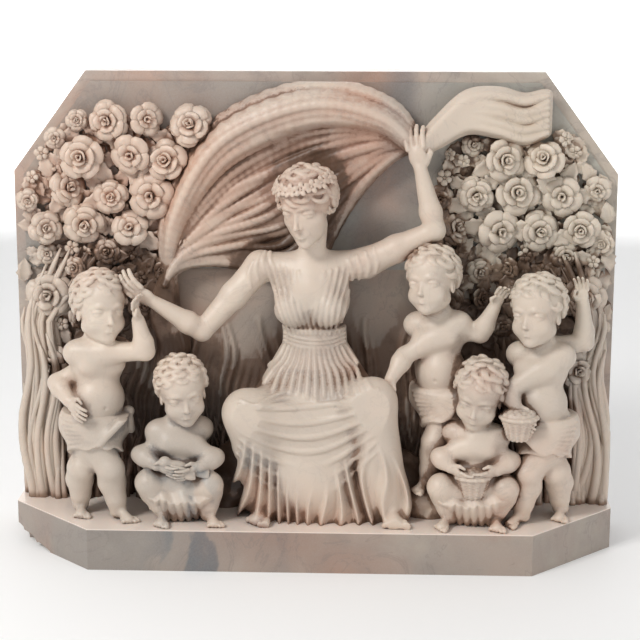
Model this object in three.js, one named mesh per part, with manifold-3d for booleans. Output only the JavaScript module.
// A carved marble relief plaque: an eight-sided slab that grows out of a canted base, cut from one block,
// with a seated lady under a billowing veil, five children and two rose bushes in high relief.
// Millimetres, +Z up, the front faces -Y. The origin is the middle of the underside.
import * as THREE from "three";
import { mergeVertices } from "three/addons/utils/BufferGeometryUtils.js";
import Module from "manifold-3d";

const wasm = await Module();
wasm.setup();

// Driving dimensions of the block.
const WIDTH = 900;
const HEIGHT = 708;
const SLAB_THICKNESS = 70;
const BASE_HEIGHT = 62;
const BASE_REACH = 60; // how far the base's straight sides stand in front of the slab
const CANT = 128; // the base's 45-degree corners
const CORNER_X = 111; // the slab's cut corners, across
const CORNER_Z = 149; // and down
const BORDER = 15; // plain border around the raised panel
const PANEL_STEP = 5; // how far the panel stands proud of the border
const ROOT = 8; // how deep a carved form is rooted in the stone behind it
const LOCK_OUT = 1.14; // how far a lock of hair stands out of the head's cap
const LOCK_IN = 0.97; // and how far the hair falls back between the locks

const DEPTH = SLAB_THICKNESS + BASE_REACH + CANT;
const BACK_Y = DEPTH / 2;
const FRONT_Y = -DEPTH / 2;
const SLAB_Y = BACK_Y - SLAB_THICKNESS;
const PANEL_Y = SLAB_Y - PANEL_STEP;
const CANT_Y = FRONT_Y + CANT;
const HALF = WIDTH / 2;

// ---------- closed solids from three.js geometry ----------

function solid(geometry) {
  const bare = geometry.index ? geometry.toNonIndexed() : geometry.clone();
  bare.deleteAttribute("normal");
  bare.deleteAttribute("uv");
  const merged = mergeVertices(bare, 1e-3);
  const mesh = new wasm.Mesh({
    numProp: 3,
    vertProperties: merged.attributes.position.array,
    triVerts: new Uint32Array(merged.index.array),
  });
  return new wasm.Manifold(mesh);
}

const vec = (p) => new THREE.Vector3(...p);

// An ellipsoid with its radii along the three directions of a frame.
function egg(centre, radii, frame = null, detail = 1) {
  const shape = new THREE.IcosahedronGeometry(1, detail);
  shape.scale(...radii);
  if (frame) shape.applyMatrix4(frame);
  shape.translate(...centre);
  return solid(shape);
}

// A diamond-shaped lump, as for a lock of hair or a nose.
function knot(centre, radii, frame) {
  const shape = new THREE.OctahedronGeometry(1, 0);
  shape.scale(...radii);
  shape.applyMatrix4(frame);
  shape.translate(...centre);
  return solid(shape);
}

// A rounded rod from a to b whose radius runs through the listed radii; flat squeezes it front to back.
function limb(a, b, radii, sides = 6, flat = 1) {
  const along = vec(b).sub(vec(a));
  const length = along.length();
  const gaps = radii.length - 1;
  const profile = [new THREE.Vector2(0, -radii[0] * 0.8)];
  radii.forEach((r, i) => profile.push(new THREE.Vector2(r, (length * i) / gaps)));
  profile.push(new THREE.Vector2(0, length + radii[gaps] * 0.8));
  const shape = new THREE.LatheGeometry(profile, sides);
  const up = along.normalize();
  const back = new THREE.Vector3(0, 1, 0).addScaledVector(up, -up.y).normalize();
  const right = new THREE.Vector3().crossVectors(up, back);
  shape.scale(1, 1, flat);
  shape.applyMatrix4(new THREE.Matrix4().makeBasis(right, up, back));
  shape.translate(...a);
  return solid(shape);
}

// A closed rod along a smooth curve; its radius runs through the listed radii, and every second corner
// of its section is drawn in by fold, which gives long folds.
function swept(points, radii, { sides = 6, steps = 6, flat = 1, fold = 0 } = {}) {
  const curve = new THREE.CatmullRomCurve3(points.map(vec));
  const shape = new THREE.CylinderGeometry(1, 1, 1, sides, steps);
  const corners = shape.attributes.position;
  for (let i = 0; i < corners.count; i++) {
    const corner = new THREE.Vector3().fromBufferAttribute(corners, i);
    const t = corner.y + 0.5;
    const along = curve.getTangentAt(t);
    const back = new THREE.Vector3(0, 1, 0).addScaledVector(along, -along.y).normalize();
    const side = new THREE.Vector3().crossVectors(along, back);
    const index = Math.round((Math.atan2(corner.x, corner.z) / (2 * Math.PI)) * sides);
    const radius = listed(radii, t) * (index % 2 ? 1 - fold : 1);
    const place = curve.getPointAt(t);
    place.addScaledVector(side, corner.x * radius);
    place.addScaledVector(back, corner.z * radius * flat);
    corners.setXYZ(i, ...place.toArray());
  }
  return solid(shape);
}

// The value at t, from 0 to 1, of evenly spaced values joined by straight lines.
function listed(values, t) {
  const s = t * (values.length - 1);
  const i = Math.min(Math.floor(s), values.length - 2);
  return mixed(values[i], values[i + 1], s - i);
}

function mixed(a, b, t) {
  return a + (b - a) * t;
}

// A flat outline of [x, z] points standing between two depths.
function plate(outline, yFront, yBack) {
  const shape = new THREE.Shape(outline.map(([x, z]) => new THREE.Vector2(x, z)));
  const body = new THREE.ExtrudeGeometry(shape, { depth: yBack - yFront, bevelEnabled: false });
  body.rotateX(Math.PI / 2);
  body.translate(0, yBack, 0);
  return solid(body);
}

// ---------- the block: slab, raised panel and canted base ----------

function slabOutline(inset) {
  const slope = Math.hypot(CORNER_X, CORNER_Z);
  const x = HALF - inset;
  const top = HEIGHT - inset;
  const shoulder = HEIGHT - CORNER_Z + (inset * (CORNER_Z - slope)) / CORNER_X;
  const flat = HALF - CORNER_X + (inset * (CORNER_X - slope)) / CORNER_Z;
  return [
    [-x, 0],
    [x, 0],
    [x, shoulder],
    [flat, top],
    [-flat, top],
    [-x, shoulder],
  ];
}

function block() {
  const slab = plate(slabOutline(0), SLAB_Y, BACK_Y);
  const panel = plate(slabOutline(BORDER), PANEL_Y, SLAB_Y + ROOT);
  const plan = [
    [-HALF, BACK_Y],
    [-HALF, CANT_Y],
    [-HALF + CANT, FRONT_Y],
    [HALF - CANT, FRONT_Y],
    [HALF, CANT_Y],
    [HALF, BACK_Y],
  ];
  const shape = new THREE.Shape(plan.map(([x, y]) => new THREE.Vector2(x, y)));
  const base = new THREE.ExtrudeGeometry(shape, { depth: BASE_HEIGHT, bevelEnabled: false });
  return [slab, panel, solid(base)];
}

// The spalled lower corner of the base's left cant.
function chips() {
  return [
    egg([-HALF - 4, CANT_Y - 2, 32], [20, 22, 25]),
    egg([-HALF + 14, CANT_Y - 20, 19], [22, 22, 13]),
  ];
}

// ---------- frames on a body ----------

// Right, back and up of a torso that faces turn degrees to the viewer's right.
function torsoFrame(hips, chest, turn) {
  const up = vec(chest).sub(vec(hips)).normalize();
  const angle = THREE.MathUtils.degToRad(turn);
  const facing = new THREE.Vector3(Math.sin(angle), -Math.cos(angle), 0);
  const right = new THREE.Vector3().crossVectors(up, facing).normalize();
  const back = new THREE.Vector3().crossVectors(up, right);
  return new THREE.Matrix4().makeBasis(right, back, up);
}

// A head nods down, then turns to the viewer's right, then tilts its crown to the viewer's right.
function headFrame([turn, tilt, nod]) {
  const [t, k, n] = [turn, tilt, nod].map(THREE.MathUtils.degToRad);
  const frame = new THREE.Matrix4().makeRotationX(n);
  frame.premultiply(new THREE.Matrix4().makeRotationZ(t));
  return frame.premultiply(new THREE.Matrix4().makeRotationY(k));
}

// The point that lies right, forward and up of an origin in a frame.
function at(origin, frame, right, forward, up) {
  const p = new THREE.Vector3(right, -forward, up).applyMatrix4(frame);
  return p.add(vec(origin)).toArray();
}

// ---------- the figures ----------

const CHILDREN = {
  giver: {
    size: 1, turn: 28, face: [32, 4, -6],
    hips: [-318, -52, 205], chest: [-312, -56, 290], head: [-304, -66, 378],
    elbowA: [-372, -58, 262], handA: [-344, -98, 240], elbowB: [-238, -80, 316], handB: [-248, -88, 372],
    kneeA: [-338, -72, 138], footA: [-344, -52, 76], kneeB: [-292, -86, 140], footB: [-284, -78, 76],
  },
  sitter: {
    size: 0.96, turn: 12, face: [14, -6, 8],
    hips: [-190, -62, 98], chest: [-192, -66, 176], head: [-186, -78, 258],
    elbowA: [-248, -84, 162], handA: [-214, -108, 150], elbowB: [-138, -86, 160], handB: [-166, -110, 148],
    kneeA: [-236, -92, 122], footA: [-214, -89, 76], kneeB: [-146, -94, 120], footB: [-150, -89, 76],
  },
  climber: {
    size: 0.98, turn: -18, face: [-26, -8, -12],
    hips: [196, -22, 246], chest: [186, -28, 330], head: [174, -40, 416],
    elbowA: [136, -50, 306], handA: [112, -78, 270], elbowB: [246, -40, 338], handB: [268, -52, 388],
    kneeA: [182, -52, 178], footA: [172, -44, 116], kneeB: [224, -46, 180], footB: [232, -36, 116],
  },
  picker: {
    size: 1, turn: -25, face: [-30, -5, -6],
    hips: [340, -50, 205], chest: [334, -54, 290], head: [324, -66, 378],
    elbowA: [284, -78, 262], handA: [300, -100, 236], elbowB: [396, -44, 328], handB: [392, -36, 392],
    kneeA: [318, -80, 140], footA: [310, -74, 76], kneeB: [360, -62, 138], footB: [370, -40, 76],
  },
  dreamer: {
    size: 0.96, turn: -14, face: [-12, 8, 14],
    hips: [238, -66, 98], chest: [240, -72, 176], head: [244, -80, 258],
    elbowA: [188, -90, 166], handA: [210, -108, 150], elbowB: [292, -86, 160], handB: [262, -108, 148],
    kneeA: [190, -94, 122], footA: [204, -89, 76], kneeB: [284, -92, 120], footB: [270, -89, 76],
  },
};

const LADY = {
  turn: -6, face: [-24, -6, 12],
  hips: [8, -10, 212], waist: [4, -12, 308], chest: [0, -16, 382], head: [-6, -44, 524],
  shoulderA: [-76, -12, 430], elbowA: [-160, -40, 338], handA: [-238, -70, 394],
  shoulderB: [78, -14, 436], elbowB: [178, -24, 486], handB: [152, -18, 590],
  hipA: [-36, -14, 206], kneeA: [-92, -82, 226], footA: [-66, -66, 84],
  hipB: [52, -14, 206], kneeB: [90, -86, 246], footB: [114, -74, 84],
};

// A bumpy cap of hair: a ball whose main corners stand out as locks.
function hair(centre, radii, frame) {
  const shape = new THREE.IcosahedronGeometry(1, 1);
  const corners = shape.attributes.position;
  const main = new THREE.IcosahedronGeometry(1, 0).attributes.position;
  const tips = [...Array(main.count).keys()].map((j) => new THREE.Vector3().fromBufferAttribute(main, j));
  for (let i = 0; i < corners.count; i++) {
    const corner = new THREE.Vector3().fromBufferAttribute(corners, i);
    const lock = tips.some((tip) => tip.distanceTo(corner) < 0.01);
    corner.multiplyScalar(lock ? LOCK_OUT : LOCK_IN);
    corners.setXYZ(i, ...corner.toArray());
  }
  shape.scale(...radii);
  shape.applyMatrix4(frame);
  shape.translate(...centre);
  return solid(shape);
}

// A head of size 1 is 100 mm from chin to crown: skull, jaw, nose and hair.
function head(centre, face, size) {
  const frame = headFrame(face);
  const spot = (r, f, u) => at(centre, frame, r * size, f * size, u * size);
  const radii = (...values) => values.map((v) => v * size);
  return [
    egg(spot(0, -3, 9), radii(38, 43, 41), frame),
    egg(spot(0, 12, -18), radii(31, 34, 36), frame, 0),
    knot(spot(0, 40, -6), radii(6, 11, 14), frame),
    hair(spot(0, -12, 15), radii(43, 43, 38), frame),
  ];
}

// A child: round belly, short limbs, a cloth knotted round the hips.
function child(c) {
  const frame = torsoFrame(c.hips, c.chest, c.turn);
  const s = c.size;
  const scale = (radii) => radii.map((r) => r * s);
  const spot = (from, r, f, u) => at(from, frame, r * s, f * s, u * s);
  const parts = [
    limb(spot(c.hips, 0, 4, -14), spot(c.chest, 0, 0, 34), scale([38, 46, 42, 30]), 6, 0.88),
    limb(spot(c.hips, -3, 2, -24), spot(c.hips, 3, 2, 14), scale([42, 50]), 7, 0.9),
  ];
  const sides = [
    [-1, c.elbowA, c.handA, c.kneeA, c.footA],
    [1, c.elbowB, c.handB, c.kneeB, c.footB],
  ];
  for (const [side, elbow, hand, knee, foot] of sides) {
    const arm = [spot(c.chest, side * 34, 0, 24), elbow, hand];
    parts.push(swept(arm, scale([20, 19, 14, 14, 9, 14]), { sides: 5, steps: 4 }));
    const toe = at(foot, frame, 0, 30 * s, 0);
    const leg = [spot(c.hips, side * 22, 0, -4), knee, foot, [toe[0], toe[1], foot[2] - 6]];
    parts.push(swept(leg, scale([30, 29, 22, 20, 14, 15, 9]), { sides: 6, steps: 6 }));
  }
  return [...parts, ...head(c.head, c.face, s)];
}

// The skirt: a closed tube whose section widens over the knees and is gathered into folds.
function skirt() {
  const rings = [
    { z: 318, x: 4, y: -12, across: 46, deep: 36, fold: 0.02 },
    { z: 256, x: 6, y: -26, across: 90, deep: 60, fold: 0.03 },
    { z: 212, x: 4, y: -44, across: 124, deep: 62, fold: 0.04 },
    { z: 136, x: 16, y: -44, across: 112, deep: 58, fold: 0.08 },
    { z: BASE_HEIGHT - ROOT / 2, x: 24, y: -40, across: 128, deep: 64, fold: 0.1 },
  ];
  const sides = 20;
  const shape = new THREE.CylinderGeometry(1, 1, rings.length - 1, sides, rings.length - 1);
  const corners = shape.attributes.position;
  for (let i = 0; i < corners.count; i++) {
    const corner = new THREE.Vector3().fromBufferAttribute(corners, i);
    const ring = rings[Math.round((rings.length - 1) / 2 - corner.y)];
    const index = Math.round((Math.atan2(corner.x, corner.z) / (2 * Math.PI)) * sides);
    const reach = index % 2 ? 1 - ring.fold : 1 + ring.fold;
    const x = ring.x + reach * ring.across * corner.x;
    const y = ring.y - reach * ring.deep * corner.z;
    corners.setXYZ(i, x, y, ring.z);
  }
  return solid(shape);
}

function lady() {
  const p = LADY;
  const frame = torsoFrame(p.hips, p.chest, p.turn);
  const parts = [
    limb(p.waist, at(p.chest, frame, 0, 0, 44), [48, 58, 56, 32], 8, 0.74),
    limb(at(p.chest, frame, -30, 22, -2), at(p.chest, frame, 30, 22, -2), [22, 24, 22], 6),
    limb(at(p.chest, frame, 0, 2, 46), p.head, [26, 20], 5),
    skirt(),
    limb(p.hipA, p.kneeA, [48, 38], 6),
    limb(p.hipB, p.kneeB, [48, 38], 6),
  ];
  for (const arm of [
    [at(p.chest, frame, -20, 0, 44), p.shoulderA, p.elbowA, p.handA],
    [at(p.chest, frame, 20, 0, 44), p.shoulderB, p.elbowB, p.handB],
  ]) {
    parts.push(swept(arm, [26, 28, 24, 18, 18, 11, 14], { sides: 6, steps: 7 }));
  }
  for (const [x, y, z] of [p.footA, p.footB]) {
    parts.push(limb([x, y, z - 6], [x + 6, y - 30, z - 12], [15, 10], 5));
  }
  return [...parts, ...head(p.head, p.face, 1.08)];
}

// ---------- veil, rock and what the children hold ----------

const VEIL = [
  [-214, 30, 404], [-196, 14, 510], [-124, 4, 612], [-4, 0, 660], [100, -6, 646], [152, -16, 604],
  [200, 0, 642], [262, 14, 664], [330, 26, 646],
];

function veil() {
  const hollow = [[-206, 404], [-182, 520], [-118, 606], [-4, 650], [96, 636], [144, 590], [150, 440]];
  return [
    plate(hollow, PANEL_Y - 14, PANEL_Y + ROOT),
    swept(VEIL, [15, 20, 24, 24, 18, 18, 22, 9], { sides: 8, steps: 18, flat: 0.9, fold: 0.3 }),
  ];
}

function rock() {
  const parts = [];
  const stones = 4;
  for (let i = 0; i < stones; i++) {
    const x = mixed(-90, 226, i / (stones - 1));
    const tall = mixed(80, 50, i / (stones - 1));
    parts.push(egg([x, 26, BASE_HEIGHT + tall * 0.3], [72, 46, tall], null, 0));
  }
  return parts;
}

function dove([x, y, z]) {
  return [
    egg([x, y, z], [22, 11, 13]),
    egg([x - 19, y - 2, z + 12], [9, 8, 9]),
    limb([x + 14, y, z], [x + 34, y + 4, z - 6], [7, 9], 4, 0.5),
  ];
}

function basket([x, y, z]) {
  return [limb([x, y, z - 18], [x, y, z + 8], [19, 27], 7), egg([x, y - 2, z + 14], [23, 17, 13])];
}

// ---------- roses, leaves, stems and grass ----------

// A repeatable scatter from 0 to 1, the same for the same pair of whole numbers.
function scatter(i, j) {
  const s = Math.sin(i * 127.1 + j * 311.7) * 43758.5453;
  return s - Math.floor(s);
}

// A rose facing forward: a five-sided cup with a twisted bud in it.
function rose(x, y, z, radius, spin) {
  const cup = (petals, wide, narrow, yFront, turn) => {
    const yRoot = PANEL_Y + ROOT;
    const shape = new THREE.CylinderGeometry(wide, narrow, yRoot - yFront, petals);
    shape.rotateY(turn);
    shape.translate(x, (yRoot + yFront) / 2, z);
    return solid(shape);
  };
  return [
    cup(5, radius * 1.2, radius * 0.9, y - radius * 0.3, spin),
    cup(4, radius * 0.8, radius * 0.4, y - radius * 0.65, spin + 0.6),
  ];
}

// A pointed leaf whose tip points outwards along the angle.
function leaf(x, y, z, length, angle) {
  const shape = new THREE.OctahedronGeometry(1, 0);
  shape.scale(length / 2, 2 * ROOT, length / 4);
  shape.rotateY(-angle);
  shape.translate(x + (length / 2) * Math.cos(angle), y, z + (length / 2) * Math.sin(angle));
  return solid(shape);
}

// Whether the bushes reach the place side * x, z, clear of the slab's edge, the veil and the figures.
function inBush(side, x, z, margin) {
  const slope = HEIGHT - BORDER - (Math.max(0, x - (HALF - CORNER_X)) * CORNER_Z) / CORNER_X;
  const crown = side < 0 ? 650 - 0.2 * Math.max(0, x - 240) : 600;
  const inner = side < 0 ? 236 - 0.5 * (z - 450) : 206 + 0.2 * Math.abs(z - 500);
  const foot = x > 380 ? 250 : 440;
  return x < HALF - 4 - 1.15 * margin && x > inner && z < Math.min(slope - 1.6 * margin, crown) && z > foot;
}

const ROSE_PITCH = 62;

function roses() {
  const parts = [];
  for (const side of [-1, 1]) {
    for (let row = 0; row < 8; row++) {
      for (let column = 0; column < 6; column++) {
        const key = row * 7 + column + (side > 0 ? 60 : 0);
        const radius = 21 + 9 * scatter(key, 1);
        const x = 150 + ROSE_PITCH * (column + 0.5 * (row % 2)) + 12 * (scatter(key, 2) - 0.5);
        const z = 270 + ROSE_PITCH * 0.84 * row + 12 * (scatter(key, 3) - 0.5);
        if (!inBush(side, x, z, radius)) continue;
        const y = PANEL_Y - 14 - 12 * scatter(key, 4);
        parts.push(...rose(side * x, y, z, radius, 6 * scatter(key, 5)));
        if (column % 2) continue;
        const angle = Math.PI * (1.1 + 0.8 * scatter(key, 6));
        const stemX = side * x + radius * 0.7 * Math.cos(angle);
        parts.push(leaf(stemX, PANEL_Y - ROOT, z + radius * 0.7 * Math.sin(angle), 36, angle));
      }
    }
  }
  return parts;
}

// The thicket behind the roses.
function thicket() {
  const edge = [
    [-430, 240], [-394, 240], [-372, 414], [-220, 414], [-240, 500], [-184, 596], [-246, 640],
    [-352, 640], [-430, 540],
  ];
  const mirrored = edge.map(([x, z]) => [-x, z * 0.97 + 7]).reverse();
  return [plate(edge, PANEL_Y - 12, PANEL_Y + ROOT), plate(mirrored, PANEL_Y - 12, PANEL_Y + ROOT)];
}

const TRUNK = [[410, 38, BASE_HEIGHT - 2], [420, 32, 160], [402, 30, 260], [416, 30, 360], [380, 32, 440]];

function trunks() {
  const parts = [];
  for (const side of [-1, 1]) {
    const placed = TRUNK.map(([x, y, z]) => [side * x, y, z]);
    parts.push(swept(placed, [24, 16, 14, 12, 8], { sides: 6, steps: 7 }));
  }
  return parts;
}

// Tall wavy grass along the foot of the panel: ridges whose tips rise and fall.
function grass() {
  const blades = 24;
  const shape = new THREE.BoxGeometry(1, 1, 1, blades * 2, 1, 2);
  const corners = shape.attributes.position;
  for (let i = 0; i < corners.count; i++) {
    const column = Math.round((corners.getX(i) + 0.5) * blades * 2);
    const level = corners.getZ(i) + 0.5;
    const ridge = column % 2;
    const tip = 60 + (ridge ? 30 + 30 * scatter(column, 11) : 0);
    const sway = 9 * Math.sin(column * 0.7 + 4 * level) * level;
    const front = PANEL_Y - (ridge ? 24 : 12) * (1 - 0.6 * level);
    const x = mixed(-430, 430, corners.getX(i) + 0.5) + sway;
    const y = corners.getY(i) > 0 ? PANEL_Y + ROOT : front;
    corners.setXYZ(i, x, y, BASE_HEIGHT - ROOT / 2 + tip * level);
  }
  return [solid(shape)];
}

// ---------- one solid ----------

function marble() {
  return new THREE.MeshStandardMaterial({ color: 0xc9ae9a, roughness: 0.42, metalness: 0 });
}

function meshOf(manifold, name, material) {
  const data = manifold.getMesh();
  const stride = data.numProp;
  const flat = new Float32Array((data.vertProperties.length / stride) * 3);
  for (let i = 0; i * 3 < flat.length; i++) {
    const corner = data.vertProperties.subarray(i * stride, i * stride + 3);
    flat.set(corner, i * 3);
  }
  const geometry = new THREE.BufferGeometry();
  geometry.setAttribute("position", new THREE.BufferAttribute(flat, 3));
  geometry.setIndex(new THREE.BufferAttribute(data.triVerts, 1));
  geometry.computeVertexNormals();
  const mesh = new THREE.Mesh(geometry, material);
  mesh.name = name;
  return mesh;
}

const carving = [
  ...veil(),
  ...rock(),
  ...thicket(),
  ...roses(),
  ...trunks(),
  ...grass(),
  ...lady(),
  ...Object.values(CHILDREN).flatMap(child),
  ...dove([-190, -106, 146]),
  ...basket([300, -98, 222]),
  ...basket([236, -98, 134]),
];
const stone = wasm.Manifold.union([...block(), ...carving]).subtract(wasm.Manifold.union(chips()));

const group = new THREE.Group();
group.add(meshOf(stone, "relief_plaque", marble()));
export default group;
